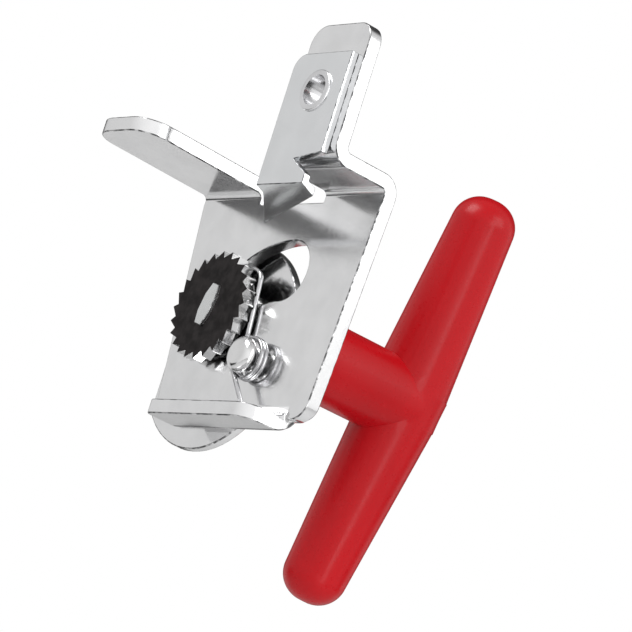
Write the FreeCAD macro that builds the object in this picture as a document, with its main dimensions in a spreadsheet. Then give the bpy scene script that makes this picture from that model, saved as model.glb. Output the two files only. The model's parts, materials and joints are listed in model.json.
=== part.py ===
import FreeCAD, Part
import math
import os
import re
import Sketcher

# Hand-held can opener with a swinging feed wheel and a T-handle.
# Row frame, millimetres: +Z up, +X to the right as the user faces the can side, +Y back towards
# the T-handle. The origin is the centre of the hanging hole at the arm's front face.
# Every sheet-metal piece is drawn about the swing pivot, where it crosses the main plate's front
# face. There Y = 0 is the front face and the metal lies at positive Y.

DIMENSIONS = {
    # main plate, one bent blank
    "sheet_thick": 2.5,
    "bend_inner": 0.9,
    "bend_root": 1.8,
    "foot_bend": 2.2,
    "rim_height": 29.7,
    "plate_left": 28.6,
    "plate_right": 19.2,
    "taper_left": 4.9,
    "taper_right": 3.1,
    "plate_drop": 9.5,
    "plate_round": 3.2,
    "lever_wide": 15.4,
    "lever_reach": 25.9,
    "lever_lift": 0.6,
    "lever_round": 4.8,
    "arm_wide": 15.2,
    "arm_reach": 12.0,
    "arm_rise": 24.1,
    "arm_round": 3.4,
    "foot_left": 14.8,
    "foot_right": 12.0,
    "foot_reach": 7.9,
    "foot_round_left": 1.2,
    "foot_round_right": 3.5,
    # hanging hole and its eyelet
    "hole_right": 11.2,
    "hole_above_rim": 11.8,
    "eyelet_bore": 2.6,
    "eyelet_wall": 0.5,
    "eyelet_rim": 3.6,
    "eyelet_lip": 0.35,
    "eyelet_round": 0.25,
    # cutting blade
    "blade_thick": 1.3,
    "blade_wide": 14.3,
    "blade_above_rim": 18.5,
    "blade_round": 2.6,
    "blade_inset": 0.7,
    "blade_below_rim": 4.3,
    "blade_back": 7.2,
    "blade_dip": 3.2,
    "slit_below_rim": 2.6,
    "slit_above_rim": 1.0,
    "slit_deep": 6.6,
    "limb_short": 2.4,
    "limb_point": 6.6,
    "heel_deep": 0.5,
    "edge_start": 1.6,
    # swing pivot
    "post_radius": 2.2,
    "post_stand": 3.2,
    "post_head": 3.1,
    "post_dome": 1.5,
    "dome_round": 1.35,
    "post_tail": 3.0,
    "tail_high": 1.0,
    "tail_round": 0.7,
    "pivot_play": 0.05,
    "plate_gap": 0.5,
    "spacer_radius": 4.4,
    "rear_washer_radius": 4.6,
    "rear_washer_thick": 0.7,
    # swing plate, its bush and the collar that holds it to the main plate
    "swing_radius": 16.0,
    "swing_angle": 57.0,
    "swing_thick": 1.5,
    "disc_radius": 18.2,
    "disc_left": 15.5,
    "disc_up": 4.0,
    "disc_flat": 29.2,
    "lobe_radius": 5.4,
    "slot_half": 5.3,
    "bush_radius": 4.9,
    "bush_flange": 7.0,
    "bush_flange_thick": 1.4,
    "collar_radius": 7.9,
    "collar_thick": 1.0,
    "collar_gap": 0.25,
    # feed wheel and drive shaft
    "wheel_radius": 9.5,
    "wheel_thick": 1.9,
    "tooth_deep": 1.15,
    "tooth_root": 0.3,
    "tooth_hook": 0.5,
    "tooth_run": 2.25,
    "tooth_count": 24,
    "shaft_radius": 3.75,
    "shaft_play": 0.05,
    "face_play": 0.2,
    "tang_thick": 3.1,
    "tang_proud": 0.5,
    "tang_inset": 0.1,
    "tang_end_thick": 1.7,
    "tang_waist": 1.5,
    "square_inset": 0.21,
    "square_long": 22.0,
    "thrust_thick": 1.1,
    "thrust_radius": 6.2,
    # T-handle
    "bar_back": 41.1,
    "bar_half": 37.8,
    "bar_middle": 6.9,
    "bar_end": 5.4,
    "bar_end_round": 5.0,
    "bar_bow": 1.0,
    "bar_crown": 3.0,
    "bar_lean": 14.0,
    "stub_radius": 6.9,
    # return spring
    "wire_radius": 0.45,
    "coil_radius": 3.35,
    "coil_pitch": 0.88,
    "coil_count": 3,
    "coil_start": 0.3,
    "leg_lean": 41.8,
    "elbow_swell": 0.02,
    "leg_slim": 0.01,
}

doc = FreeCAD.newDocument("can_opener")
sheet = doc.addObject("Spreadsheet::Sheet", "Dims")
for row, (alias, value) in enumerate(DIMENSIONS.items(), 1):
    sheet.set("A%d" % row, alias)
    sheet.set("B%d" % row, str(value))
    sheet.setAlias("B%d" % row, alias)
doc.recompute()

FRONT = "XZ_Plane"
SIDE = "YZ_Plane"
ABOVE = "XY_Plane"


def dim(alias):
    """The present value of one driving dimension."""
    return float(sheet.get(alias))


def bound(text):
    """An expression in which each plain word, but no function name, reads the sheet."""
    return re.sub(r"\b([a-z][a-z_]*[a-z])\b(?!\()", r"Dims.\1", text)


def bind(thing, target, text):
    thing.setExpression(target, bound(text))


# Where the pivot and the drive shaft stand in the row frame.
PIVOT_X = "-hole_right"
PIVOT_Y = "arm_reach"
PIVOT_Z = "-rim_height - hole_above_rim"
SHAFT_X = "-hole_right - swing_radius * sin(swing_angle)"
SHAFT_Z = "-rim_height - hole_above_rim + swing_radius * cos(swing_angle)"


def stand(thing, x, y, z):
    bind(thing, "Placement.Base.x", x)
    bind(thing, "Placement.Base.y", y)
    bind(thing, "Placement.Base.z", z)


def new_body(name):
    body = doc.addObject("PartDesign::Body", name)
    body.Label = name
    return body


def sketch_on(body, name, plane, offset="0"):
    sketch = body.newObject("Sketcher::SketchObject", name)
    origin_plane = next(item for item in body.Origin.OriginFeatures if item.Role == plane)
    sketch.AttachmentSupport = [(origin_plane, "")]
    sketch.MapMode = "FlatFace"
    bind(sketch, "AttachmentOffset.Base.z", offset)
    return sketch


def polygon(sketch, corners):
    """A closed outline whose every corner is placed from the sketch origin by the sheet."""
    count = len(corners)
    spread = [
        FreeCAD.Vector(math.cos(2 * math.pi * i / count), math.sin(2 * math.pi * i / count), 0)
        for i in range(count)
    ]
    first = sketch.GeometryCount
    for i in range(count):
        sketch.addGeometry(Part.LineSegment(spread[i], spread[(i + 1) % count]), False)
    for i in range(count):
        following = first + (i + 1) % count
        sketch.addConstraint(Sketcher.Constraint("Coincident", first + i, 2, following, 1))
    for i, (across, up) in enumerate(corners):
        for axis, text, start in (("DistanceX", across, spread[i].x), ("DistanceY", up, spread[i].y)):
            number = sketch.addConstraint(Sketcher.Constraint(axis, -1, 1, first + i, 1, start))
            bind(sketch, "Constraints[%d]" % number, text)


def circle(sketch, radius, across="0", up="0"):
    number = sketch.addGeometry(Part.Circle(FreeCAD.Vector(0.1, 0.1, 0), FreeCAD.Vector(0, 0, 1), 1.0), False)
    size = sketch.addConstraint(Sketcher.Constraint("Radius", number, 1.0))
    bind(sketch, "Constraints[%d]" % size, radius)
    for axis, text in (("DistanceX", across), ("DistanceY", up)):
        place = sketch.addConstraint(Sketcher.Constraint(axis, -1, 1, number, 3, 0.1))
        bind(sketch, "Constraints[%d]" % place, text)


def extruded(body, kind, name, sketch, length, reverse=False, midplane=False):
    feature = body.newObject("PartDesign::" + kind, name)
    feature.Profile = sketch
    feature.Reversed = reverse
    feature.Midplane = midplane
    bind(feature, "Length", length)
    sketch.Visibility = False
    return feature


def revolved(body, kind, name, sketch, axis, angle="360", reverse=False):
    feature = body.newObject("PartDesign::" + kind, name)
    feature.Profile = sketch
    feature.ReferenceAxis = (sketch, [axis])
    feature.Reversed = reverse
    bind(feature, "Angle", angle)
    sketch.Visibility = False
    return feature


def rounded(body, name, near, radius):
    """Rounds each edge of the body for which near(middle, direction) is true."""
    doc.recompute()
    base = body.Tip
    found = []
    for number, edge in enumerate(base.Shape.Edges, 1):
        middle = edge.valueAt((edge.FirstParameter + edge.LastParameter) / 2)
        direction = edge.tangentAt((edge.FirstParameter + edge.LastParameter) / 2)
        if near(middle, direction):
            found.append("Edge%d" % number)
    if not found:
        raise RuntimeError("no edge found for " + name)
    feature = body.newObject("PartDesign::Fillet", name)
    feature.Base = (base, found)
    bind(feature, "Radius", radius)
    body.Tip = feature
    doc.recompute()
    return feature


def close(a, b, slack=0.05):
    return abs(a - b) < slack


# ---------------------------------------------------------------- main plate
def make_body_plate():
    body = new_body("body_plate")
    panel = sketch_on(body, "panel_outline", FRONT)
    polygon(panel, [
        ("-plate_left", "rim_height - bend_root"),
        ("plate_right", "rim_height - bend_root"),
        ("plate_right - taper_right", "-plate_drop"),
        ("taper_left - plate_left", "-plate_drop"),
    ])
    extruded(body, "Pad", "panel", panel, "sheet_thick", reverse=True)

    lever = sketch_on(body, "lever_profile", SIDE, "-plate_left")
    polygon(lever, [
        ("0", "rim_height - bend_root"),
        ("sheet_thick", "rim_height - bend_root"),
        ("sheet_thick", "rim_height + sheet_thick"),
        ("-lever_reach", "rim_height + sheet_thick + lever_lift"),
        ("-lever_reach", "rim_height + lever_lift"),
        ("0", "rim_height"),
    ])
    extruded(body, "Pad", "lever", lever, "lever_wide")

    arm = sketch_on(body, "arm_profile", SIDE, "plate_right - arm_wide")
    polygon(arm, [
        ("0", "rim_height - bend_root"),
        ("sheet_thick", "rim_height - bend_root"),
        ("sheet_thick", "rim_height + sheet_thick"),
        ("sheet_thick - arm_reach", "rim_height + sheet_thick"),
        ("sheet_thick - arm_reach", "rim_height + arm_rise"),
        ("-arm_reach", "rim_height + arm_rise"),
        ("-arm_reach", "rim_height"),
        ("0", "rim_height"),
    ])
    extruded(body, "Pad", "arm", arm, "arm_wide")

    foot = sketch_on(body, "foot_profile", SIDE, "-foot_left")
    polygon(foot, [
        ("0", "bend_root - plate_drop"),
        ("sheet_thick", "bend_root - plate_drop"),
        ("sheet_thick", "-plate_drop - sheet_thick"),
        ("-foot_reach", "-plate_drop - sheet_thick"),
        ("-foot_reach", "-plate_drop"),
        ("0", "-plate_drop"),
    ])
    extruded(body, "Pad", "foot", foot, "foot_left + foot_right")

    thick, rim, drop = dim("sheet_thick"), dim("rim_height"), dim("plate_drop")
    reach, top = dim("arm_reach"), dim("rim_height") + dim("arm_rise")

    def along_x(direction):
        return abs(direction.x) > 0.99

    inner = [(0, rim), (thick - reach, rim + thick)]
    outer = [(thick, rim + thick), (-reach, rim)]
    rounded(body, "bends_inside",
            lambda p, d: along_x(d) and any(close(p.y, y) and close(p.z, z) for y, z in inner),
            "bend_inner")
    rounded(body, "bends_outside",
            lambda p, d: along_x(d) and any(close(p.y, y) and close(p.z, z) for y, z in outer),
            "bend_inner + sheet_thick")
    rounded(body, "foot_bend_inside",
            lambda p, d: along_x(d) and close(p.y, 0) and close(p.z, -drop)
            and -dim("foot_left") < p.x < dim("foot_right"),
            "foot_bend")
    rounded(body, "foot_bend_outside",
            lambda p, d: along_x(d) and close(p.y, thick) and close(p.z, -drop - thick),
            "foot_bend + sheet_thick")
    rounded(body, "lever_end",
            lambda p, d: close(p.y, -dim("lever_reach")) and abs(d.x) < 0.5, "lever_round")
    rounded(body, "arm_end",
            lambda p, d: close(p.z, top) and abs(d.y) > 0.99, "arm_round")
    rounded(body, "foot_left_corner",
            lambda p, d: close(p.y, -dim("foot_reach")) and abs(d.z) > 0.99 and p.x < 0,
            "foot_round_left")
    rounded(body, "foot_right_corner",
            lambda p, d: close(p.y, -dim("foot_reach")) and abs(d.z) > 0.99 and p.x > 0,
            "foot_round_right")
    right_low = dim("plate_right") - dim("taper_right")
    rounded(body, "plate_corner",
            lambda p, d: close(p.x, right_low) and close(p.z, -drop) and abs(d.y) > 0.9,
            "plate_round")

    holes = sketch_on(body, "plate_holes", FRONT)
    circle(holes, "post_radius")
    extruded(body, "Pocket", "pivot_hole", holes, "4 * sheet_thick", midplane=True)
    ends = sketch_on(body, "slot_ends", FRONT)
    circle(ends, "slot_half", "0", "swing_radius")
    extruded(body, "Pocket", "slot_closed_end", ends, "4 * sheet_thick", midplane=True)
    rest = sketch_on(body, "slot_rest", FRONT)
    circle(rest, "slot_half", "-swing_radius * sin(swing_angle)", "swing_radius * cos(swing_angle)")
    extruded(body, "Pocket", "slot_rest_end", rest, "4 * sheet_thick", midplane=True)
    sweep = sketch_on(body, "slot_section", SIDE)
    polygon(sweep, [
        ("-sheet_thick", "swing_radius - slot_half"),
        ("2 * sheet_thick", "swing_radius - slot_half"),
        ("2 * sheet_thick", "swing_radius + slot_half"),
        ("-sheet_thick", "swing_radius + slot_half"),
    ])
    revolved(body, "Groove", "slot", sweep, "H_Axis", "swing_angle", reverse=True)

    hang = sketch_on(body, "hanging_hole", FRONT, "arm_reach")
    circle(hang, "eyelet_bore + eyelet_wall", "hole_right", "rim_height + hole_above_rim")
    extruded(body, "Pocket", "eyelet_hole", hang, "4 * sheet_thick", midplane=True)
    stand(body, PIVOT_X, PIVOT_Y, PIVOT_Z)
    return body


# ---------------------------------------------------------------- cutting blade
BLADE_LEFT = "(plate_right - arm_wide - blade_inset)"
BLADE_RIGHT = "(plate_right - arm_wide - blade_inset + blade_wide)"
BLADE_LOW = "(rim_height - blade_below_rim)"
BLADE_TOP = "(rim_height + blade_above_rim)"
POINT_X = "(plate_right - arm_wide - blade_inset - limb_point)"


def make_cutting_blade():
    """A flat upper part on the arm's face, a slit, and a lower limb bent back to a point."""
    body = new_body("cutting_blade")
    face = sketch_on(body, "blade_face", FRONT, "arm_reach")
    polygon(face, [
        (BLADE_LEFT, BLADE_LOW),
        (BLADE_RIGHT + " - limb_short", BLADE_LOW),
        (BLADE_RIGHT + " - limb_short", "rim_height - slit_below_rim"),
        (BLADE_RIGHT + " - slit_deep", "rim_height"),
        (BLADE_RIGHT, "rim_height + slit_above_rim"),
        (BLADE_RIGHT, BLADE_TOP),
        (BLADE_LEFT, BLADE_TOP),
    ])
    extruded(body, "Pad", "face", face, "blade_thick")
    limb = sketch_on(body, "limb_section", SIDE, POINT_X)
    polygon(limb, [
        ("-arm_reach", BLADE_LOW + " + blade_thick"),
        ("-arm_reach - blade_thick", BLADE_LOW + " + blade_thick"),
        ("-arm_reach - blade_thick", BLADE_LOW),
        ("blade_back - arm_reach", BLADE_LOW + " - blade_dip"),
        ("blade_back - arm_reach", BLADE_LOW + " - blade_dip + blade_thick"),
        ("-arm_reach", BLADE_LOW + " + blade_thick - blade_dip * blade_thick / (blade_back + blade_thick)"),
    ])
    extruded(body, "Pad", "limb", limb, "blade_wide + limb_point - limb_short")
    # The limb seen from above: its cutting edge runs from the right side back to the point.
    trim = sketch_on(body, "limb_trim", ABOVE)
    polygon(trim, [
        (BLADE_RIGHT + " - limb_short", "edge_start - arm_reach"),
        (POINT_X, "blade_back - arm_reach"),
        (POINT_X, "blade_back"),
        ("2 * plate_right", "blade_back"),
        ("2 * plate_right", "edge_start - arm_reach"),
    ])
    extruded(body, "Pocket", "cutting_edge", trim, "4 * rim_height", midplane=True)
    side = sketch_on(body, "limb_side", ABOVE)
    polygon(side, [
        (BLADE_LEFT, "-arm_reach - 2 * blade_thick"),
        (BLADE_LEFT, "heel_deep - arm_reach"),
        (POINT_X, "blade_back - arm_reach"),
        ("-plate_left", "blade_back - arm_reach"),
        ("-plate_left", "-arm_reach - 2 * blade_thick"),
    ])
    extruded(body, "Pocket", "point", side, "4 * rim_height", midplane=True)
    left = dim("plate_right") - dim("arm_wide") - dim("blade_inset")
    top = dim("rim_height") + dim("blade_above_rim")
    rounded(body, "blade_corner",
            lambda p, d: close(p.x, left) and close(p.z, top) and abs(d.y) > 0.99, "blade_round")
    hole = sketch_on(body, "blade_hole", FRONT, "arm_reach")
    circle(hole, "eyelet_bore + eyelet_wall", "hole_right", "rim_height + hole_above_rim")
    extruded(body, "Pocket", "eyelet_hole", hole, "4 * blade_thick", midplane=True)
    stand(body, PIVOT_X, PIVOT_Y, PIVOT_Z)
    return body


# ---------------------------------------------------------------- turned pieces
def make_turned(name, corners, place):
    """A piece turned about the Y axis from a half section of (along Y, radius) corners."""
    body = new_body(name)
    section = sketch_on(body, name + "_section", SIDE)
    polygon(section, corners)
    revolved(body, "Revolution", name + "_turned", section, "H_Axis")
    stand(body, *place)
    return body


def make_ring(name, front, back, inner, outer, place):
    return make_turned(name, [(front, inner), (back, inner), (back, outer), (front, outer)], place)


AT_PIVOT = (PIVOT_X, PIVOT_Y, PIVOT_Z)
AT_SHAFT = (SHAFT_X, PIVOT_Y, SHAFT_Z)
SWING_FRONT = "(sheet_thick + plate_gap)"
SWING_BACK = "(sheet_thick + plate_gap + swing_thick)"
REAR_WASHER_FRONT = "(sheet_thick + plate_gap + swing_thick + pivot_play)"
REAR_WASHER_BACK = "(sheet_thick + plate_gap + swing_thick + pivot_play + rear_washer_thick)"
BUSH_BACK = "(sheet_thick + plate_gap + swing_thick + bush_flange_thick)"
THRUST_FRONT = "(sheet_thick + plate_gap + swing_thick + bush_flange_thick + face_play)"
THRUST_BACK = "(sheet_thick + plate_gap + swing_thick + bush_flange_thick + face_play + thrust_thick)"
COLLAR_FRONT = "(-collar_gap - collar_thick)"
WHEEL_BACK = "(-collar_gap - collar_thick - face_play)"
WHEEL_FRONT = "(-collar_gap - collar_thick - face_play - wheel_thick)"


def make_blade_eyelet():
    """A hollow rivet through the blade and the arm, flared at both mouths."""
    back = "sheet_thick"
    front = "-blade_thick"
    body = make_turned("blade_eyelet", [
        (front + " - eyelet_lip", "eyelet_bore"),
        (back + " + eyelet_lip", "eyelet_bore"),
        (back + " + eyelet_lip", "eyelet_rim"),
        (back, "eyelet_rim"),
        (back, "eyelet_bore + eyelet_wall"),
        (front, "eyelet_bore + eyelet_wall"),
        (front, "eyelet_rim"),
        (front + " - eyelet_lip", "eyelet_rim"),
    ], ("0", "0", "0"))
    lip, rim = dim("eyelet_lip"), dim("eyelet_rim")
    front_y, back_y = -dim("blade_thick") - lip, dim("sheet_thick") + lip
    rounded(body, "eyelet_rim_round",
            lambda p, d: (close(p.y, front_y) or close(p.y, back_y)) and math.hypot(p.x, p.z) > rim - 0.1,
            "eyelet_round")
    return body


def make_pivot_post():
    body = make_turned("pivot_post", [
        ("-post_stand - post_dome", "0"),
        (REAR_WASHER_BACK + " + tail_high", "0"),
        (REAR_WASHER_BACK + " + tail_high", "post_tail"),
        (REAR_WASHER_BACK, "post_tail"),
        (REAR_WASHER_BACK, "post_radius"),
        ("-post_stand", "post_radius"),
        ("-post_stand", "post_head"),
        ("-post_stand - post_dome", "post_head"),
    ], AT_PIVOT)
    head_front = -dim("post_stand") - dim("post_dome")
    rounded(body, "head_edge",
            lambda p, d: close(p.y, head_front) and math.hypot(p.x, p.z) > dim("post_head") - 0.1,
            "dome_round")
    tail_back = (dim("sheet_thick") + dim("plate_gap") + dim("swing_thick") + dim("pivot_play")
                 + dim("rear_washer_thick") + dim("tail_high"))
    rounded(body, "tail_edge",
            lambda p, d: close(p.y, tail_back) and math.hypot(p.x, p.z) > dim("post_tail") - 0.1,
            "tail_round")
    return body


def make_swing_plate():
    """The round plate behind the main plate; it turns on the pivot post and carries the bush."""
    body = new_body("swing_plate")
    disc = sketch_on(body, "disc_outline", FRONT, "-" + SWING_FRONT)
    circle(disc, "disc_radius", "-disc_left", "disc_up")
    extruded(body, "Pad", "disc", disc, "swing_thick", reverse=True)
    lobe = sketch_on(body, "lobe_outline", FRONT, "-" + SWING_FRONT)
    circle(lobe, "lobe_radius")
    extruded(body, "Pad", "pivot_lobe", lobe, "swing_thick", reverse=True)
    flat = sketch_on(body, "disc_flat", FRONT)
    polygon(flat, [
        ("-disc_flat", "-2 * disc_radius"),
        ("-disc_flat", "2 * disc_radius"),
        ("-disc_flat - disc_radius", "2 * disc_radius"),
        ("-disc_flat - disc_radius", "-2 * disc_radius"),
    ])
    extruded(body, "Pocket", "flat", flat, "8 * sheet_thick", midplane=True)
    holes = sketch_on(body, "swing_holes", FRONT)
    circle(holes, "post_radius + pivot_play")
    circle(holes, "bush_radius", "-swing_radius * sin(swing_angle)", "swing_radius * cos(swing_angle)")
    extruded(body, "Pocket", "holes", holes, "8 * sheet_thick", midplane=True)
    stand(body, *AT_PIVOT)
    return body


def make_shaft_bush():
    return make_turned("shaft_bush", [
        (COLLAR_FRONT, "shaft_radius + shaft_play"),
        (BUSH_BACK, "shaft_radius + shaft_play"),
        (BUSH_BACK, "bush_flange"),
        (SWING_BACK, "bush_flange"),
        (SWING_BACK, "bush_radius"),
        (COLLAR_FRONT, "bush_radius"),
    ], AT_SHAFT)


# ---------------------------------------------------------------- feed wheel and drive shaft
def lean(body):
    """Turns a drive piece about the shaft so that it lines up with the leaning T-bar."""
    body.Placement = FreeCAD.Placement(FreeCAD.Vector(), FreeCAD.Rotation(FreeCAD.Vector(0, 1, 0), 0))
    bind(body, "Placement.Rotation.Angle", "bar_lean")


def make_feed_wheel():
    """A hardened wheel with hooked teeth; a flat-sided hole takes the shaft's tang."""
    body = new_body("feed_wheel")
    blank = sketch_on(body, "wheel_blank", FRONT, "-" + WHEEL_BACK)
    circle(blank, "wheel_radius")
    extruded(body, "Pad", "blank", blank, "wheel_thick")
    gap = sketch_on(body, "tooth_gap", FRONT)
    polygon(gap, [
        ("tooth_root", "wheel_radius - tooth_deep"),
        ("-tooth_hook", "wheel_radius + tooth_deep"),
        ("tooth_run + tooth_hook", "wheel_radius + tooth_deep"),
        ("tooth_run", "wheel_radius - tooth_root"),
    ])
    cut = extruded(body, "Pocket", "gap", gap, "12 * wheel_thick", midplane=True)
    doc.recompute()
    pattern = body.newObject("PartDesign::PolarPattern", "teeth")
    pattern.Originals = [cut]
    pattern.Axis = (gap, ["N_Axis"])
    pattern.Angle = 360
    bind(pattern, "Occurrences", "tooth_count")
    body.Tip = pattern
    doc.recompute()
    slot = sketch_on(body, "tang_slot", FRONT)
    polygon(slot, tang_corners())
    extruded(body, "Pocket", "tang_hole", slot, "12 * wheel_thick", midplane=True)
    lean(body)
    stand(body, *AT_SHAFT)
    return body


def tang_corners():
    """Flat sides as far as the waist, then narrowing to each end."""
    side, end, long = "tang_thick / 2", "tang_end_thick / 2", "(shaft_radius - tang_inset)"
    return [
        ("-" + side, "-tang_waist"), ("-" + end, "-" + long), (end, "-" + long), (side, "-tang_waist"),
        (side, "tang_waist"), (end, long), ("-" + end, long), ("-" + side, "tang_waist"),
    ]


def make_drive_shaft():
    """Round in the bush, a flat tang through the wheel in front, a square inside the handle."""
    body = new_body("drive_shaft")
    barrel = sketch_on(body, "barrel_outline", FRONT, "-" + THRUST_BACK)
    circle(barrel, "shaft_radius")
    extruded(body, "Pad", "barrel", barrel, THRUST_BACK + " - " + WHEEL_BACK)
    tang = sketch_on(body, "tang_outline", FRONT, "-" + WHEEL_BACK)
    polygon(tang, tang_corners())
    extruded(body, "Pad", "tang", tang, "wheel_thick + tang_proud")
    square = sketch_on(body, "square_outline", FRONT, "-" + THRUST_BACK)
    polygon(square, square_corners())
    extruded(body, "Pad", "square", square, "square_long", reverse=True)
    lean(body)
    stand(body, *AT_SHAFT)
    return body


def square_corners():
    half = "(shaft_radius - square_inset) / sqrt(2)"
    return [("-" + half, "-" + half), (half, "-" + half), (half, half), ("-" + half, half)]


# ---------------------------------------------------------------- T-handle
def half_bar(body, name, sign):
    """Half the bar, to one end. Its axis, the first line, leans forward and both ends are square to it."""
    section = sketch_on(body, name + "_section", SIDE)
    slope = "bar_bow / bar_half"
    corners = [
        ("bar_back + bar_crown * " + slope, "-bar_crown"),
        ("bar_back - bar_bow", "bar_half"),
        ("bar_back - bar_bow + bar_end", "bar_half + bar_end * " + slope),
        ("bar_back - bar_crown * " + slope + " + bar_middle", "bar_crown + bar_middle * " + slope),
        ("bar_back + bar_crown * " + slope + " + bar_middle", "bar_middle * " + slope + " - bar_crown"),
    ]
    polygon(section, [(back, "%s(%s)" % (sign, up)) for back, up in corners])
    revolved(body, "Revolution", name, section, "Edge1")


def make_t_handle():
    """Moulded bar, thick and bowed in the middle, round at the ends, on a stub with a socket."""
    body = new_body("t_handle")
    half_bar(body, "upper_half", "")
    half_bar(body, "lower_half", "-")
    half, end, end_back = dim("bar_half"), dim("bar_end"), dim("bar_back") - dim("bar_bow")
    rounded(body, "bar_ends",
            lambda p, d: close(abs(p.z), half, 0.6) and math.hypot(p.x, p.y - end_back) > end - 0.2,
            "bar_end_round")
    stub = sketch_on(body, "stub_outline", FRONT, "-" + THRUST_BACK)
    circle(stub, "stub_radius")
    extruded(body, "Pad", "stub", stub, "bar_back - " + THRUST_BACK, reverse=True)
    socket = sketch_on(body, "socket_outline", FRONT, "-" + THRUST_BACK)
    polygon(socket, square_corners())
    extruded(body, "Pocket", "socket", socket, "square_long")
    lean(body)
    stand(body, *AT_SHAFT)
    return body


# ---------------------------------------------------------------- return spring
# Each bend of the moving leg round the collar: degrees above level, seen from the shaft, and the
# distance from the shaft as a share of the collar's clearance radius.
LEG_BENDS = ((14, 1.05), (38, 1.21), (63, 1.05))
# Overlapping pieces may share this much of their summed volume, and no more.
KEPT_SHARE = 0.85


def make_torsion_spring():
    """A close coil round the post; one leg on the foot, the other beside the bush collar.

    The turns touch, so each is a ring. The wire leaves the turn next to the plate on the post's
    left side, straight up, and leaves the outermost turn down to the right, leg_lean from upright.
    """
    wire, coil = dim("wire_radius"), dim("coil_radius")
    start = dim("coil_start") + wire
    end = start + dim("coil_pitch") * (dim("coil_count") - 1)
    forward = FreeCAD.Vector(0, 1, 0)
    rings = [
        Part.makeTorus(coil, wire, FreeCAD.Vector(0, -start - dim("coil_pitch") * i, 0), forward)
        for i in range(int(dim("coil_count")))
    ]

    swing = math.radians(dim("swing_angle"))
    arm = dim("swing_radius")
    shaft = FreeCAD.Vector(-arm * math.sin(swing), -start, arm * math.cos(swing))
    clear = dim("collar_radius") + wire + dim("collar_gap")
    moving = [FreeCAD.Vector(-coil, -start, 0)]
    for angle, share in LEG_BENDS:
        out = clear * share
        moving.append(shaft + FreeCAD.Vector(
            out * math.cos(math.radians(angle)), 0, out * math.sin(math.radians(angle))))
    lean = math.radians(dim("leg_lean"))
    loose = FreeCAD.Vector(-coil * math.cos(lean), -end, -coil * math.sin(lean))
    drop = dim("plate_drop") - wire - dim("elbow_swell") - coil * math.sin(lean)
    fixed = [loose, loose + FreeCAD.Vector(drop * math.tan(lean), 0, -drop)]

    leg = wire - dim("leg_slim")
    pieces = []
    for path in (moving, fixed):
        for here, there in zip(path, path[1:]):
            run = there - here
            pieces.append(Part.makeCylinder(leg, run.Length, here, run))
        for corner in path[1:]:
            pieces.append(Part.makeSphere(leg + dim("elbow_swell"), corner))
    spring = doc.addObject("Part::Feature", "torsion_spring")
    spring.Label = "torsion_spring"
    whole = rings[0]
    for piece in rings[1:] + pieces:
        whole = whole.fuse(piece)
    if whole.Volume < KEPT_SHARE * sum(piece.Volume for piece in rings + pieces):
        raise RuntimeError("the spring lost a turn or a leg")
    spring.Shape = whole
    stand(spring, *AT_PIVOT)
    return spring


def make_all():
    return [
        make_body_plate(),
        make_cutting_blade(),
        make_blade_eyelet(),
        make_pivot_post(),
        make_ring("pivot_spacer", "sheet_thick", SWING_FRONT, "post_radius + pivot_play",
                  "spacer_radius", AT_PIVOT),
        make_ring("pivot_rear_washer", REAR_WASHER_FRONT, REAR_WASHER_BACK, "post_radius + pivot_play",
                  "rear_washer_radius", AT_PIVOT),
        make_torsion_spring(),
        make_swing_plate(),
        make_shaft_bush(),
        make_ring("guide_collar", COLLAR_FRONT, "-collar_gap", "bush_radius", "collar_radius", AT_SHAFT),
        make_feed_wheel(),
        make_drive_shaft(),
        make_ring("thrust_washer", THRUST_FRONT, THRUST_BACK, "shaft_radius + shaft_play",
                  "thrust_radius", AT_SHAFT),
        make_t_handle(),
    ]


subparts = make_all()
doc.recompute()
for thing in doc.Objects:
    if "Invalid" in thing.State or "Error" in thing.State:
        raise RuntimeError("%s did not compute: %s" % (thing.Name, thing.State))
for piece in subparts:
    if piece.Shape.isNull() or not piece.Shape.isValid():
        raise RuntimeError(piece.Label + " has no valid shape")
os.makedirs("parts", exist_ok=True)
for piece in subparts:
    piece.Shape.exportStep("parts/%s.step" % piece.Label)
    box = piece.Shape.BoundBox
    print("%-18s solids %d volume %8.1f x %.1f..%.1f y %.1f..%.1f z %.1f..%.1f" % (
        piece.Label, len(piece.Shape.Solids), piece.Shape.Volume,
        box.XMin, box.XMax, box.YMin, box.YMax, box.ZMin, box.ZMax))
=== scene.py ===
import json
import math

import bmesh
import bpy
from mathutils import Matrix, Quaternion, Vector


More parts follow.
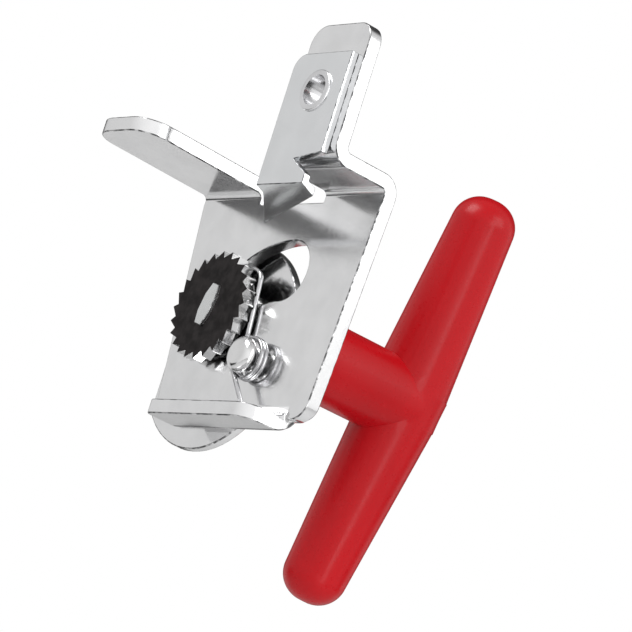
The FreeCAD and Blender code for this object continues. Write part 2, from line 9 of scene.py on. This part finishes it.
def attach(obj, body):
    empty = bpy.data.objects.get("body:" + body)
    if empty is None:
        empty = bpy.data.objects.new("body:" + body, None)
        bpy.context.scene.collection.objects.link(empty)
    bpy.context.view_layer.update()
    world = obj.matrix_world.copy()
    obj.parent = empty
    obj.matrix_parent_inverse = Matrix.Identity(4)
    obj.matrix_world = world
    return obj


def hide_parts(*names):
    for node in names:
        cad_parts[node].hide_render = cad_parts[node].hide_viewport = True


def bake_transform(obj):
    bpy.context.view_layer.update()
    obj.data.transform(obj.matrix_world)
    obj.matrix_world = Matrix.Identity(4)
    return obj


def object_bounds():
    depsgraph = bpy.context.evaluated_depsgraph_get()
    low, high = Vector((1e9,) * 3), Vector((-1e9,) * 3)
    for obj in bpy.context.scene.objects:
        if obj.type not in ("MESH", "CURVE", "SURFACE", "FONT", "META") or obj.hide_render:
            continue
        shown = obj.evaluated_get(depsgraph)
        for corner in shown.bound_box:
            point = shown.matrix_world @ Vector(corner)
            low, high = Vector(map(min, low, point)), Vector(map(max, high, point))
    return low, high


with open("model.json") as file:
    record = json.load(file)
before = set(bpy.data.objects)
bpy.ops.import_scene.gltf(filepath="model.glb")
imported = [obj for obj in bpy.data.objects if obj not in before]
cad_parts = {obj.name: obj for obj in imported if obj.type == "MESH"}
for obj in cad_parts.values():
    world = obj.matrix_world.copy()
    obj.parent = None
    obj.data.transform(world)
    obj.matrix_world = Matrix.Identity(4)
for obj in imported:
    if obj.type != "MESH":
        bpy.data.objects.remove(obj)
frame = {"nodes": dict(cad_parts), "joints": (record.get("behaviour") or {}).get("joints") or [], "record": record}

CAD_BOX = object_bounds()
MM = 0.001
CAMERA_AIM = Vector((-0.0054, 0.0161, -0.0318))
CAMERA_DISTANCE = 0.6535
CAMERA_AZIMUTH = 53.8
CAMERA_ELEVATION = -13.34
CAMERA_ROLL = 17.5
CAMERA_LENS = 230.8
FLOOR_DROP = 0.45
FLOOR_SIZE = 2.6
bpy.context.scene.view_settings.view_transform = "Standard"

# The room's brightness at its far left and right, where along X it changes, the ceiling's share of it
# and the heights, as the sine of the angle above level, between which the ceiling starts.
ROOM_LEFT = 0.72
ROOM_RIGHT = 1.10
ROOM_SPAN = (-0.9, 0.7)
CEILING = 0.62
CEILING_SPAN = (0.35, 0.9)
# Dark cards that the metal reflects: the direction each stands in, its half width and soft edge in
# degrees, and how much of the light it takes away. The directions are chosen for CAMERA_AZIMUTH.
DARK_CARDS = (
    ((-0.785, -0.575, -0.231), 12, 5, 0.93),
    ((-0.60, 0.60, 0.55), 36, 14, 0.92),
    ((0.23, 0.575, -0.785), 16, 8, 0.9),
    ((0.25, 0.93, -0.30), 14, 6, 0.9),
)

JOINTS = {joint["name"]: joint for joint in frame["joints"]}
PIVOT = Vector(JOINTS["wheel_swing"]["pos_m"])
SHAFT = Vector(JOINTS["handle_turn"]["pos_m"])

# Lamps: the direction each stands in from the object, its distance, width and height, and its watts.
LAMPS = {
    "key": ((-0.2, -0.8, 0.9), 0.9, 0.5, 0.5, 5.0),
    "side": ((1.0, 0.3, 0.5), 1.0, 0.6, 0.6, 3.0),
    "strip": ((0.975, -0.09, -0.12), 0.8, 0.14, 0.9, 1.6),
}

# Return spring: the wire, the coil it makes round the pivot, and where its two legs go. LEG_BENDS
# gives the moving leg's corners, as an angle in degrees round the shaft and a share of LEG_CLEAR.
WIRE_RADIUS = 0.40 * MM
BEND_TRIM = 1.4 * MM
COIL_RADIUS = 3.35 * MM
COIL_INNER = 0.75 * MM
COIL_OUTER = 2.51 * MM
FULL_TURNS = 2
LEG_LEAN = math.radians(41.8)
FIXED_DROP = 6.8 * MM
LEG_CLEAR = 8.6 * MM
LEG_BENDS = ((14, 1.05), (38, 1.21), (63, 1.05))

# Face attribute that is 1 on eased edges, and the dark colour painted there: a painted reflection standing in for
# the dark lines that lit metal edges show.
EDGE_LAYER = "edge"
PAINTED_EDGE_DARK = (0.03, 0.03, 0.032, 1)


# ---------------------------------------------------------------- node helpers
def new_material(name):
    """A new material, its node tree and its shader."""
    material = bpy.data.materials.new(name)
    material.use_nodes = True
    return material, material.node_tree, material.node_tree.nodes["Principled BSDF"]


def node(tree, kind, **settings):
    """A new node, with each setting given to its socket of that name or else to the node itself."""
    made = tree.nodes.new(kind)
    for key, value in settings.items():
        if key in made.inputs.keys():
            made.inputs[key].default_value = value
        else:
            setattr(made, key, value)
    return made


def object_point(tree, stretch=(1, 1, 1)):
    """Object coordinates, in metres, stretched so that a texture's features can be drawn out."""
    place = node(tree, "ShaderNodeTexCoord")
    scaled = node(tree, "ShaderNodeMapping")
    scaled.inputs["Scale"].default_value = stretch
    tree.links.new(place.outputs["Object"], scaled.inputs["Vector"])
    return scaled.outputs["Vector"]


def noise(tree, size, detail=4.0, stretch=(1, 1, 1), rough=0.5):
    """A noise whose features are about `size` metres across."""
    made = node(tree, "ShaderNodeTexNoise", Scale=1.0 / size, Detail=detail, Roughness=rough)
    tree.links.new(object_point(tree, stretch), made.inputs["Vector"])
    return made.outputs["Fac"]


def ramp(tree, value, low, high, start=0.0, end=1.0):
    """`low` where the value is at or under `start`, `high` at or over `end`, even in between."""
    made = node(tree, "ShaderNodeMapRange")
    made.inputs["From Min"].default_value = start
    made.inputs["From Max"].default_value = end
    made.inputs["To Min"].default_value = low
    made.inputs["To Max"].default_value = high
    tree.links.new(value, made.inputs["Value"])
    return made.outputs["Result"]


def colour_between(tree, value, first, second, start=0.35, end=0.65):
    """The first colour up to `start`, the second from `end` on, blended in between."""
    made = node(tree, "ShaderNodeValToRGB")
    made.color_ramp.elements[0].position = start
    made.color_ramp.elements[0].color = (*first, 1)
    made.color_ramp.elements[1].position = end
    made.color_ramp.elements[1].color = (*second, 1)
    tree.links.new(value, made.inputs["Fac"])
    return made.outputs["Color"]


def bump(tree, shader, height, distance):
    """Relief `distance` metres deep in the shader's normal."""
    made = node(tree, "ShaderNodeBump", Strength=1.0, Distance=distance)
    tree.links.new(height, made.inputs["Height"])
    tree.links.new(made.outputs["Normal"], shader.inputs["Normal"])


# ---------------------------------------------------------------- materials
def metal(name, light, dark, rough, painted_edge_depth=0.9):
    """Plated steel: faint colour drift, fine grain in the gloss, slight waviness, and eased edges painted dark in
    flecks as a painted reflection.
    """
    material, tree, shader = new_material(name)
    shader.inputs["Metallic"].default_value = 1.0
    drift = colour_between(tree, noise(tree, 0.006, 3.0), dark, light)
    # Painted reflection: the eased edges are painted dark in noisy flecks, standing in for the dark lines that
    # edges reflect.
    edge = node(tree, "ShaderNodeAttribute", attribute_name=EDGE_LAYER)
    painted_edge_mask = node(tree, "ShaderNodeMath", operation="MULTIPLY")
    tree.links.new(edge.outputs["Fac"], painted_edge_mask.inputs[0])
    tree.links.new(ramp(tree, noise(tree, 0.0011, 4.0), 0.15, painted_edge_depth, 0.38, 0.58), painted_edge_mask.inputs[1])
    mix = node(tree, "ShaderNodeMix", data_type="RGBA")
    tree.links.new(painted_edge_mask.outputs[0], mix.inputs["Factor"])
    tree.links.new(drift, mix.inputs["A"])
    mix.inputs["B"].default_value = PAINTED_EDGE_DARK
    tree.links.new(mix.outputs["Result"], shader.inputs["Base Color"])
    fine = noise(tree, 0.00035, 5.0, rough=0.6)
    tree.links.new(ramp(tree, fine, *rough, 0.3, 0.7), shader.inputs["Roughness"])
    bump(tree, shader, noise(tree, 0.004, 2.0), 0.00001)
    return material


def wheel_metal(name):
    """Blackened faces with bright tooth flanks: the split follows the wheel's own axis."""
    material, tree, shader = new_material(name)
    shader.inputs["Metallic"].default_value = 1.0
    place = node(tree, "ShaderNodeTexCoord")
    split = node(tree, "ShaderNodeSeparateXYZ")
    tree.links.new(place.outputs["Normal"], split.inputs["Vector"])
    facing = node(tree, "ShaderNodeMath", operation="ABSOLUTE")
    tree.links.new(split.outputs["Y"], facing.inputs[0])
    blotch = noise(tree, 0.0016, 5.0)
    wobble = node(tree, "ShaderNodeMath", operation="MULTIPLY_ADD")
    wobble.inputs[1].default_value = 0.10
    tree.links.new(blotch, wobble.inputs[0])
    tree.links.new(facing.outputs[0], wobble.inputs[2])
    dark = colour_between(tree, blotch, (0.012, 0.010, 0.010), (0.030, 0.026, 0.026))
    mix = node(tree, "ShaderNodeMix", data_type="RGBA")
    tree.links.new(ramp(tree, wobble.outputs[0], 0.0, 1.0, 0.80, 1.0), mix.inputs["Factor"])
    mix.inputs["A"].default_value = (0.68, 0.68, 0.68, 1)
    tree.links.new(dark, mix.inputs["B"])
    tree.links.new(mix.outputs["Result"], shader.inputs["Base Color"])
    tree.links.new(ramp(tree, wobble.outputs[0], 0.16, 0.42, 0.80, 1.0), shader.inputs["Roughness"])
    bump(tree, shader, noise(tree, 0.0006, 4.0), 0.00001)
    return material


def plastic(name, colour, deep):
    """Glossy moulded plastic: a faint flow pattern in the colour and a fine moulded texture."""
    material, tree, shader = new_material(name)
    shader.inputs["Metallic"].default_value = 0.0
    shader.inputs["IOR"].default_value = 1.5
    shader.inputs["Specular IOR Level"].default_value = 0.20
    flow = noise(tree, 0.022, 3.0, (1, 1, 0.4))
    tree.links.new(colour_between(tree, flow, deep, colour), shader.inputs["Base Color"])
    fine = noise(tree, 0.0009, 4.0)
    tree.links.new(ramp(tree, fine, 0.26, 0.34, 0.3, 0.7), shader.inputs["Roughness"])
    bump(tree, shader, noise(tree, 0.0011, 3.0), 0.000008)
    return material


MATERIALS = {
    "plate_chrome": metal("plate_chrome", (0.84, 0.84, 0.845), (0.78, 0.78, 0.785), (0.13, 0.22)),
    "blade_chrome": metal("blade_chrome", (0.80, 0.81, 0.82), (0.76, 0.77, 0.78), (0.10, 0.18)),
    "eyelet_steel": metal("eyelet_steel", (0.78, 0.78, 0.79), (0.66, 0.66, 0.67), (0.12, 0.22)),
    "post_steel": metal("post_steel", (0.82, 0.82, 0.82), (0.74, 0.74, 0.74), (0.08, 0.15), 0.4),
    "washer_steel": metal("washer_steel", (0.70, 0.70, 0.70), (0.60, 0.60, 0.61), (0.22, 0.38)),
    "spring_steel": metal("spring_steel", (0.60, 0.60, 0.61), (0.46, 0.46, 0.47), (0.12, 0.24)),
    "swing_chrome": metal("swing_chrome", (0.82, 0.82, 0.825), (0.77, 0.77, 0.775), (0.10, 0.18)),
    "collar_black": metal("collar_black", (0.07, 0.07, 0.07), (0.04, 0.04, 0.04), (0.22, 0.34)),
    "bush_steel": metal("bush_steel", (0.70, 0.70, 0.70), (0.60, 0.60, 0.60), (0.18, 0.30)),
    "wheel_black": wheel_metal("wheel_black"),
    "shaft_steel": metal("shaft_steel", (0.72, 0.73, 0.73), (0.62, 0.63, 0.63), (0.20, 0.34)),
    "handle_red": plastic("handle_red", (0.44, 0.004, 0.008), (0.36, 0.003, 0.006)),
}
SLOT_OF = {entry["node"]: entry["material_slot"] for entry in frame["record"]["subparts"]}
BODY_OF = {
    name: body
    for body, names in frame["record"]["behaviour"]["bodies"].items()
    for name in names
}


# ---------------------------------------------------------------- pieces
def link(name, mesh):
    """A new object for a mesh, placed in the scene."""
    made = bpy.data.objects.new(name, mesh)
    bpy.context.scene.collection.objects.link(made)
    return made


def finish_piece(piece, node_name):
    """Gives a piece the finish and body of the CAD node it stands for, and hides that node."""
    piece.data.materials.clear()
    piece.data.materials.append(MATERIALS[SLOT_OF[node_name]])
    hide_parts(node_name)
    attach(piece, BODY_OF[node_name])


# An edge is sharp where its two faces turn by more than this, and it is eased in this many steps.
SHARP_ANGLE = math.radians(28)
EASE_STEPS = 3
# Long flat pieces whose shortest edges would otherwise shrink every bevel to nothing.
UNCLAMPED = ("body_plate",)
# Where the foot's bend leaves the plate's lower edge, to the left and right of the pivot, behind it and
# below it. The small steps within NOTCH_REACH of there stay as the CAD has them.
NOTCH_LEFT = 14.8 * MM
NOTCH_RIGHT = 12.0 * MM
NOTCH_BACK = 1.8 * MM
NOTCH_DROP = 8.7 * MM
NOTCH_REACH = 2.3 * MM
FOOT_NOTCHES = [PIVOT + Vector((across, NOTCH_BACK, -NOTCH_DROP)) for across in (-NOTCH_LEFT, NOTCH_RIGHT)]


def near_notch(edge):
    """True if either end of an edge is close to a foot notch."""
    return any((end.co - notch).length < NOTCH_REACH for end in edge.verts for notch in FOOT_NOTCHES)


def eased(node_name, radius):
    """The CAD node's own shape with its sharp edges eased, as tumbling and plating leave them."""
    source = frame["nodes"][node_name]
    mesh = source.data.copy()
    build = bmesh.new()
    build.from_mesh(mesh)
    bmesh.ops.remove_doubles(build, verts=build.verts, dist=1e-6)
    bmesh.ops.dissolve_limit(build, angle_limit=math.radians(1.0), verts=build.verts, edges=build.edges)
    edge = build.faces.layers.float.new(EDGE_LAYER)
    sharp = [
        e for e in build.edges
        if e.is_manifold and e.calc_face_angle(0) > SHARP_ANGLE
        and not (node_name in UNCLAMPED and near_notch(e))
    ]
    made = bmesh.ops.bevel(build, geom=sharp, offset=radius, offset_type="OFFSET", segments=EASE_STEPS,
                           profile=0.5, affect="EDGES", clamp_overlap=node_name not in UNCLAMPED,
                           miter_outer="ARC")
    for face in made["faces"]:
        face[edge] = 1.0
    for face in build.faces:
        face.smooth = True
    build.to_mesh(mesh)
    build.free()
    piece = link(node_name + "_eased", mesh)
    weighted = piece.modifiers.new("normals", "WEIGHTED_NORMAL")
    weighted.keep_sharp = True
    weighted.weight = 80
    finish_piece(piece, node_name)


# How far each piece's sharp edges are eased, in millimetres.
EASED = {
    "body_plate": 0.20,
    "cutting_blade": 0.12,
    "blade_eyelet": 0.08,
    "swing_plate": 0.22,
    "shaft_bush": 0.12,
    "guide_collar": 0.15,
    "feed_wheel": 0.07,
    "drive_shaft": 0.12,
    "thrust_washer": 0.10,
    "pivot_rear_washer": 0.10,
    "pivot_spacer": 0.05,
    "pivot_post": 0.06,
    "t_handle": 0.45,
}
for node_name, radius in EASED.items():
    eased(node_name, radius * MM)


def softened(points, steps=8):
    """The same path with each corner replaced by a smooth bend that starts BEND_TRIM away from it."""
    path = [points[0]]
    for before, corner, after in zip(points, points[1:], points[2:]):
        start = corner + (before - corner).normalized() * BEND_TRIM
        end = corner + (after - corner).normalized() * BEND_TRIM
        for i in range(steps + 1):
            share = i / steps
            path.append(start.lerp(corner, share).lerp(corner.lerp(end, share), share))
    path.append(points[-1])
    return path


def wire(name, points, radius, sides=14):
    """A round wire along a path, with closed ends."""
    build = bmesh.new()
    across = Vector((0, 1, 0))
    rings = []
    for i, point in enumerate(points):
        ahead = points[min(i + 1, len(points) - 1)] - points[max(i - 1, 0)]
        ahead.normalize()
        across = (across - ahead * across.dot(ahead)).normalized()
        over = ahead.cross(across)
        rings.append([
            build.verts.new(point + radius * (across * math.cos(turn) + over * math.sin(turn)))
            for turn in (2 * math.pi * k / sides for k in range(sides))
        ])
    for first, second in zip(rings, rings[1:]):
        for k in range(sides):
            following = (k + 1) % sides
            build.faces.new((first[k], first[following], second[following], second[k]))
    build.faces.new(reversed(rings[0]))
    build.faces.new(rings[-1])
    for face in build.faces:
        face.smooth = len(face.verts) == 4
    bmesh.ops.recalc_face_normals(build, faces=build.faces)
    mesh = bpy.data.meshes.new(name)
    build.to_mesh(mesh)
    build.free()
    piece = link(name, mesh)
    mesh.materials.append(MATERIALS["spring_steel"])
    return piece


def make_spring():
    """The coil and fixed leg wind up between the plates' two bodies; the moving leg rides on the carrier."""
    whole_turn = FULL_TURNS * 2 * math.pi + LEG_LEAN
    steps = 48 * FULL_TURNS
    coil = []
    for i in range(steps + 1):
        share = i / steps
        angle = math.pi + whole_turn * share
        out = COIL_INNER + (COIL_OUTER - COIL_INNER) * share
        coil.append(PIVOT + Vector((COIL_RADIUS * math.cos(angle), -out, COIL_RADIUS * math.sin(angle))))
    coil.append(coil[-1] + Vector((FIXED_DROP * math.tan(LEG_LEAN), 0, -FIXED_DROP)))
    wound = wire("spring_coil", coil, WIRE_RADIUS)
    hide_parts("torsion_spring")
    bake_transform(wound)

    bends = [coil[0]]
    for angle, share in LEG_BENDS:
        out = LEG_CLEAR * share
        bends.append(Vector((SHAFT.x + out * math.cos(math.radians(angle)), PIVOT.y - COIL_INNER,
                             SHAFT.z + out * math.sin(math.radians(angle)))))
    leg = wire("spring_leg", softened(bends), WIRE_RADIUS)
    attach(leg, "carrier")


make_spring()


# ---------------------------------------------------------------- stage
def make_floor():
    """A plain pale sheet of paper, well below the object."""
    bpy.ops.mesh.primitive_plane_add(size=FLOOR_SIZE, location=(0, 0, CAD_BOX[0].z - FLOOR_DROP))
    floor = bpy.context.object
    floor.name = "floor"
    material, tree, shader = new_material("floor_paper")
    tree.links.new(colour_between(tree, noise(tree, 0.4, 2.0), (0.86, 0.86, 0.86), (0.90, 0.90, 0.90)),
                   shader.inputs["Base Color"])
    shader.inputs["Roughness"].default_value = 0.9
    floor.data.materials.append(material)


def patch(tree, direction, towards, wide, soft):
    """1 within `wide` degrees of a direction, falling to 0 over `soft` degrees more."""
    dot = node(tree, "ShaderNodeVectorMath", operation="DOT_PRODUCT")
    tree.links.new(direction, dot.inputs[0])
    dot.inputs[1].default_value = Vector(towards).normalized()
    near = math.cos(math.radians(wide))
    far = math.cos(math.radians(wide + soft))
    return ramp(tree, dot.outputs["Value"], 0.0, 1.0, far, near)


def make_world():
    """White where the camera sees it; in reflections a bright room with dark cards in it."""
    world = bpy.data.worlds.new("studio")
    bpy.context.scene.world = world
    world.use_nodes = True
    tree = world.node_tree
    tree.nodes.clear()
    place = node(tree, "ShaderNodeTexCoord")
    direction = place.outputs["Generated"]
    split = node(tree, "ShaderNodeSeparateXYZ")
    tree.links.new(direction, split.inputs["Vector"])
    wall = ramp(tree, split.outputs["X"], ROOM_LEFT, ROOM_RIGHT, *ROOM_SPAN)
    upward = ramp(tree, split.outputs["Z"], 1.0, CEILING, *CEILING_SPAN)
    shaded = node(tree, "ShaderNodeMath", operation="MULTIPLY")
    tree.links.new(wall, shaded.inputs[0])
    tree.links.new(upward, shaded.inputs[1])
    light = shaded.outputs[0]
    for towards, wide, soft, depth in DARK_CARDS:
        card = patch(tree, direction, towards, wide, soft)
        keep = ramp(tree, card, 1.0, 1.0 - depth)
        dimmed = node(tree, "ShaderNodeMath", operation="MULTIPLY")
        tree.links.new(light, dimmed.inputs[0])
        tree.links.new(keep, dimmed.inputs[1])
        light = dimmed.outputs[0]
    room = node(tree, "ShaderNodeBackground", Strength=1.0)
    tree.links.new(light, room.inputs["Color"])
    white = node(tree, "ShaderNodeBackground", Strength=1.0)
    white.inputs["Color"].default_value = (1, 1, 1, 1)
    path = node(tree, "ShaderNodeLightPath")
    mix = node(tree, "ShaderNodeMixShader")
    tree.links.new(path.outputs["Is Camera Ray"], mix.inputs["Fac"])
    tree.links.new(room.outputs["Background"], mix.inputs[1])
    tree.links.new(white.outputs["Background"], mix.inputs[2])
    out = node(tree, "ShaderNodeOutputWorld")
    tree.links.new(mix.outputs["Shader"], out.inputs["Surface"])


def softbox(name, towards, distance, wide, tall, power):
    """An area light that stands off the object in the given direction and faces it."""
    data = bpy.data.lights.new(name, "AREA")
    data.shape = "RECTANGLE"
    data.size = wide
    data.size_y = tall
    data.energy = power
    lamp = bpy.data.objects.new(name, data)
    bpy.context.scene.collection.objects.link(lamp)
    direction = Vector(towards).normalized()
    lamp.location = CAMERA_AIM + direction * distance
    lamp.rotation_mode = "QUATERNION"
    lamp.rotation_quaternion = direction.to_track_quat("Z", "Y")


def make_camera():
    """Looks at CAMERA_AIM from the stated direction and distance, turned by the roll."""
    azimuth = math.radians(CAMERA_AZIMUTH)
    elevation = math.radians(CAMERA_ELEVATION)
    back = Vector((math.sin(azimuth) * math.cos(elevation), -math.cos(azimuth) * math.cos(elevation),
                   math.sin(elevation)))
    data = bpy.data.cameras.new("camera")
    data.lens = CAMERA_LENS
    data.clip_start = 0.01
    data.clip_end = 20.0
    camera = bpy.data.objects.new("camera", data)
    bpy.context.scene.collection.objects.link(camera)
    camera.location = CAMERA_AIM + back * CAMERA_DISTANCE
    camera.rotation_mode = "QUATERNION"
    upright = back.to_track_quat("Z", "Y")
    camera.rotation_quaternion = upright @ Quaternion((0, 0, 1), math.radians(CAMERA_ROLL))
    bpy.context.scene.camera = camera


make_floor()
make_world()
for lamp_name, settings in LAMPS.items():
    softbox(lamp_name, *settings)
make_camera()
